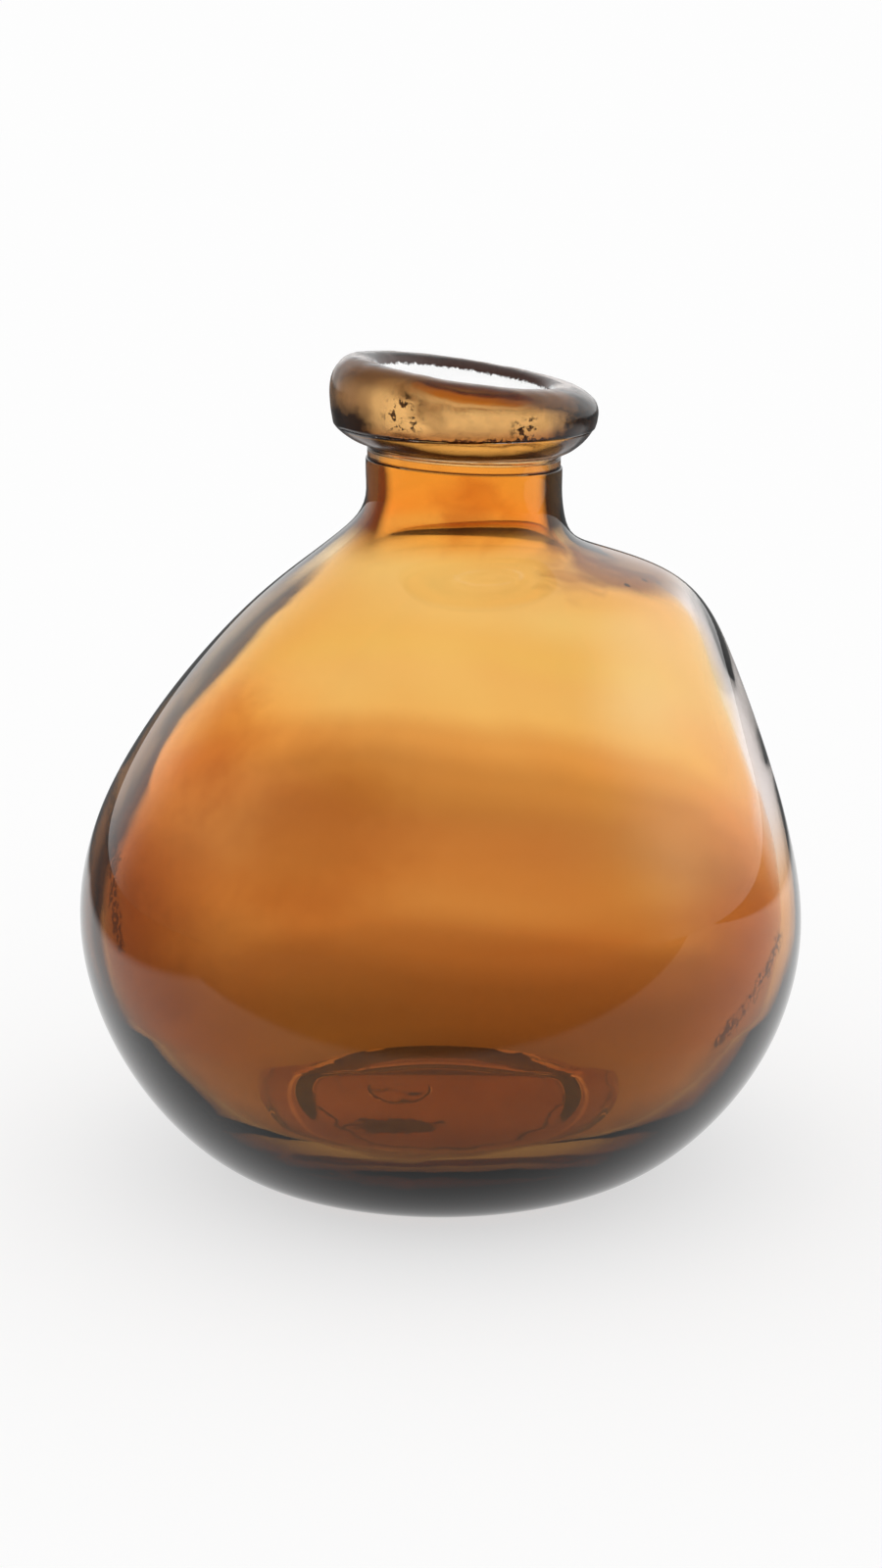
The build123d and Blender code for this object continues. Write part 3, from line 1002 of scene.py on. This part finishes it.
base_joins = {f for f in base_bm.faces if on_heel(f) or under_button(f)}
base_bm.transform(Matrix.Scale(MM, 4))
base_pad = make_piece("base_pad_glass", base_bm, base_joins, base_glass)

# %% [markdown]
# ## The band and the lip
# Three rings lie on the neck: a slim band, a rounded underside and the thick rolled ring. They are
# turned straight and then leaned, level by level, because the hand that rolled them wasn't steady. Noise
# gives the skin its lumps. The faces of the joins stay flat, so that the pieces still meet.

# %% Lip helpers
SEAM_TILT = 1.0
LIP_STRIDE = 0.9
LONG_LUMPS, SHORT_LUMPS = 12.0, 4.0  # mm


def lean_lip(bm):
    """Tilt each level of the lip about the neck's axis and move it there."""
    levels = (NECK_TOP, BAND_TOP, SEAM_HEIGHT, RING_TOP)
    tilts = (NECK_TILT, NECK_TILT, SEAM_TILT, RING_TILT)
    for vert in bm.verts:
        lean = math.radians(float(np.interp(vert.co.z, levels, tilts)))
        x, y, z = vert.co
        vert.co = Vector((NECK_OFFSET + x * math.cos(lean), y, z - x * math.sin(lean))) * MM


def lumps(bm, joins, depth, length):
    """Push the skin in and out by noise, depth and length in mm. Joins and their edges stay still."""
    bm.normal_update()
    fixed = {vert for face in joins for vert in face.verts}
    moves = {v: v.normal * noise.noise(v.co / length) * depth for v in bm.verts if v not in fixed}
    for vert, move in moves.items():
        vert.co += move


def lip_piece(name, corners, levels, lump=0.0):
    bm = lathe(corners, LIP_STRIDE, BODY_STEPS)
    joins = set(sum((level_faces(bm, level) for level in levels), []))
    lumps(bm, joins, lump, LONG_LUMPS)
    lumps(bm, joins, lump / 3, SHORT_LUMPS)
    lean_lip(bm)
    return make_piece(name, bm, joins, lip_glass)


# %% Rings of the lip
FLANGE_LEDGE, FLANGE_RADIUS = 26.1, 33.7
RING_RADIUS = 34.9
band_outline = [
    (BORE_RADIUS, NECK_TOP + JOIN_GAP, 0),
    (BAND_RADIUS, NECK_TOP + JOIN_GAP, 0.2),
    (BAND_RADIUS, BAND_TOP - 1.5, 0.1),
    (BAND_RADIUS - 0.2, BAND_TOP - 1.3, 0.1),
    (BAND_RADIUS + 0.1, BAND_TOP - 1.0, 0.1),
    (BAND_RADIUS - 0.2, BAND_TOP - 0.6, 0.1),
    (BAND_RADIUS, BAND_TOP - JOIN_GAP, 0.1),
    (BORE_RADIUS, BAND_TOP - JOIN_GAP, 0),
]
flange_outline = [
    (BORE_RADIUS, BAND_TOP, 0),
    (FLANGE_LEDGE, BAND_TOP, 0.3),
    (FLANGE_RADIUS - 2.5, BAND_TOP + 2.2, 3.5),
    (FLANGE_RADIUS, SEAM_HEIGHT - JOIN_GAP, 0.3),
    (BORE_RADIUS, SEAM_HEIGHT - JOIN_GAP, 0),
]
ring_outline = [
    (BORE_RADIUS, SEAM_HEIGHT, 0),
    (RING_RADIUS - 0.8, SEAM_HEIGHT, 0.8),
    (RING_RADIUS + 0.3, SEAM_HEIGHT + 5, 2.5),
    (RING_RADIUS - 0.6, RING_TOP, 6.3),
    (BORE_RADIUS, RING_TOP, 4.2),
]
band_joins = (NECK_TOP + JOIN_GAP, BAND_TOP - JOIN_GAP)
neck_band = lip_piece("neck_band_glass", band_outline, band_joins)
flange_joins = (BAND_TOP, SEAM_HEIGHT - JOIN_GAP)
lip_flange = lip_piece("lip_flange_glass", flange_outline, flange_joins, 0.15)
lip_ring = lip_piece("lip_ring_glass", ring_outline, (SEAM_HEIGHT,), 0.3)

# %% [markdown]
# ## The pontil button
# While the lip was made, a rod held the vase by its bottom. Broken off, it leaves a small button of
# glass. The button sits in the push-up, left of the middle, so it is turned to lie along that slope.

# %% Pontil button
PONTIL_STRIDE, PONTIL_STEPS = 0.8, 64
pontil_outline = [
    (0, -1.3, 0),
    (PONTIL_RADIUS - 0.7, -1.0, 0.6),
    (PONTIL_RADIUS, -0.25, 0.2),
    (PONTIL_RADIUS, 0, 0),
    (0, 0, 0),
]
pontil_bm = lathe(pontil_outline, PONTIL_STRIDE, PONTIL_STEPS)
pontil_join = set(level_faces(pontil_bm, 0))
lumps(pontil_bm, pontil_join, 0.4, 5.0)
recess_slope = RECESS_SINK / RECESS_CEILING
seat = Vector((-PONTIL_SHIFT, 0, RECESS_DEPTH - recess_slope * PONTIL_SHIFT - JOIN_GAP))
pontil_bm.transform(Matrix.Translation(seat) @ Matrix.Rotation(-math.atan(recess_slope), 4, "Y"))
pontil_bm.transform(Matrix.Scale(MM, 4))
pontil_button = make_piece("pontil_button_glass", pontil_bm, pontil_join, base_glass)

# %% [markdown]
# ## Giving each piece its place
# Each visible piece rides on the vase's only body and stands in for one CAD node, which is then hidden.

# %% Ride and replace
SLOTS = {
    "body_shell": (body_shell, "amber_glass"),
    "base_pad": (base_pad, "base_glass"),
    "pontil_button": (pontil_button, "base_glass"),
    "neck_band": (neck_band, "lip_glass"),
    "lip_flange": (lip_flange, "lip_glass"),
    "lip_ring": (lip_ring, "lip_glass"),
}
for node, (piece, slot) in SLOTS.items():
    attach(piece, "root")
    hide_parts(node)
print("pieces in place:", len(SLOTS))

# %% [markdown]
# ## A white table
# Clear glass shows what stands behind it, so the table matters more than the lamps. It is a white sheet
# that glows a little, as a light table does. Reflections see where the sheet ends: that gives the belly
# its soft veil of light below, and leaves the glass clear above.

# %% Sheet of the table
WHITE, GREY = 0.99, 0.15
GLOW = 0.62  # the share of the sheet's white that is its own light, as on a light table
SHEET_FRONT, SHEET_SLANT, SHEET_FADE = 0.172, 0.132, 0.02  # metres, slope, metres
SHEET_LEFT, SHEET_BACK, SHEET_SOFT = 0.40, 0.45, 0.1  # metres


def make_sheet():
    """A white sheet lit from below. Reflections see where it ends in front of the vase."""
    material = bpy.data.materials.new("white_sheet")
    material.use_nodes = True
    tree = material.node_tree
    place = add_node(tree, "SeparateXYZ", {0: add_node(tree, "TexCoord").outputs["Object"]}).outputs
    slanted = combine(tree, place["Y"], product(tree, place["X"], SHEET_SLANT))
    ahead = remap(tree, slanted, -SHEET_FRONT, -SHEET_FRONT - SHEET_FADE)
    beside = remap(tree, place["X"], -SHEET_LEFT + SHEET_SOFT, -SHEET_LEFT)
    beyond = remap(tree, place["Y"], SHEET_BACK - SHEET_SOFT, SHEET_BACK)
    off_sheet = combine(tree, ahead, combine(tree, beside, beyond, "MAXIMUM"), "MAXIMUM")
    off_sheet = product(tree, off_sheet, mirrored_rays(tree))
    tone = blend(tree, off_sheet, (WHITE, WHITE, WHITE), (GREY, GREY, GREY))
    rays = add_node(tree, "LightPath").outputs
    seen = combine(tree, rays["Is Camera Ray"], rays["Is Glossy Ray"], "MAXIMUM")
    seen = combine(tree, seen, rays["Is Transmission Ray"], "MAXIMUM")
    sheet = tree.nodes["Principled BSDF"]
    sheet.inputs["Roughness"].default_value = 1.0
    sheet.inputs["Specular IOR Level"].default_value = 0.0
    tree.links.new(tone, sheet.inputs["Base Color"])
    glow = add_node(tree, "Emission", {"Color": tone, "Strength": 1.0}).outputs[0]
    mixed = add_node(tree, "MixShader", {0: product(tree, seen, GLOW), 1: sheet.outputs[0], 2: glow})
    tree.links.new(mixed.outputs[0], tree.nodes["Material Output"].inputs["Surface"])
    return material


# %% Floor
FLOOR_REACH = 8.0  # metres
floor_bm = bmesh.new()
bmesh.ops.create_circle(floor_bm, cap_ends=True, segments=96, radius=FLOOR_REACH)
floor = add_object("floor", floor_bm)
floor.data.materials.append(make_sheet())

# %% [markdown]
# ## Soft light all round
# Glass is photographed in a tent of white cloth. The world is that tent: even white for what is seen
# through the glass. What mirrors in it is white at the back, brighter on the right, and dim on the left
# and in front, where the camera stands, so that the edges of the vase are drawn.

# %% Studio light
TENT, CEILING = 0.984, 0.75  # what shows through the glass
BACK_LIGHT, TOP_LIGHT, RIGHT_LIGHT, LEFT_LIGHT, FRONT_LIGHT = 0.97, 0.5, 1.3, 0.2, 0.1  # what mirrors

world = bpy.data.worlds.new("studio")
scene.world = world
world.use_nodes = True
sky = world.node_tree
axes = add_node(sky, "SeparateXYZ", {0: add_node(sky, "TexCoord").outputs["Generated"]}).outputs
rays = add_node(sky, "LightPath").outputs


def blend_light(light, level, mask):
    """Go over to another light level where a mask is 1."""
    return add_node(sky, "Mix", {0: mask, 2: light, 3: level}).outputs[0]


through = blend_light(TENT, CEILING, remap(sky, axes["Z"], 0.4, 0.75))
mirrored = blend_light(BACK_LIGHT, TOP_LIGHT, remap(sky, axes["Z"], 0.45, 0.85))
from_right = product(sky, (axes["X"], 0.35, 0.75), (axes["Z"], 0.02, 0.32))
mirrored = blend_light(mirrored, RIGHT_LIGHT, from_right)
from_left = product(sky, (axes["X"], -0.15, -0.45), (axes["Y"], 0.8, 0.4))
mirrored = blend_light(mirrored, LEFT_LIGHT, from_left)
mirrored = blend_light(mirrored, FRONT_LIGHT, remap(sky, axes["Y"], 0.0, -0.5))
light = blend_light(TENT, through, rays["Is Transmission Ray"])
light = blend_light(light, mirrored, mirrored_rays(sky))
sky.links.new(light, sky.nodes["Background"].inputs["Strength"])
sky.nodes["Background"].inputs["Color"].default_value = (1, 1, 1, 1)
print("world", world.name, "has", len(sky.nodes), "nodes")

# %% Light through many faces
BOUNCES = 24  # light crosses four faces of glass or more
scene.view_settings.view_transform = "Standard"
scene.cycles.max_bounces = BOUNCES
scene.cycles.transmission_bounces = BOUNCES
scene.cycles.transparent_max_bounces = BOUNCES
print("bounces of light:", BOUNCES)
